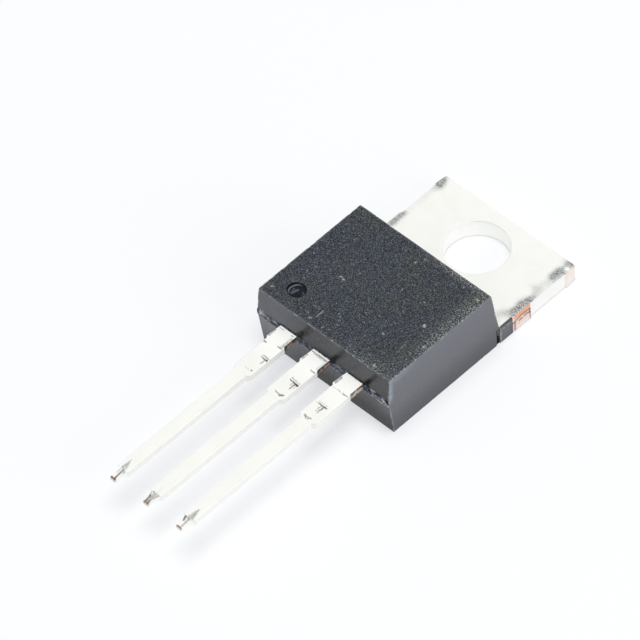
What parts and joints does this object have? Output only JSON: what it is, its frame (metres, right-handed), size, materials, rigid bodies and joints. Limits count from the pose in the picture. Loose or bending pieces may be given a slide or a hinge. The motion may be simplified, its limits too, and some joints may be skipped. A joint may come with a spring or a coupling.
{
  "type": "voltage regulator",
  "caption": "Through-hole voltage regulator: a black moulded body on a bolt-down metal tab, with stepped tin-plated leads in line.",
  "frame": {"origin": "centre of the mounting hole, on the tab's back face", "axes": "+Y runs to the tab's free end and -Y to the lead tips, +X across the width, +Z out of the back through the thickness; the part lies on its back on Z = 0"},
  "size_m": [0.0102, 0.029, 0.0045],
  "materials": {
    "epoxy": "black moulding compound, matte and finely granular",
    "tinned_copper": "matte tin plating over copper, bare copper where sheared",
    "silicon": "polished, sealed inside the body",
    "solder": "soft solder, sealed inside the body",
    "bond_wire": "drawn aluminium wire, sealed inside the body"
  },
  "bodies": {
    "root": {"moulded_body": "epoxy", "heat_spreader": "tinned_copper", "input_lead": "tinned_copper", "output_lead": "tinned_copper", "chip": "silicon", "chip_solder": "solder", "input_wire": "bond_wire", "output_wire": "bond_wire", "ground_wire": "bond_wire"}
  },
  "joints": []
}
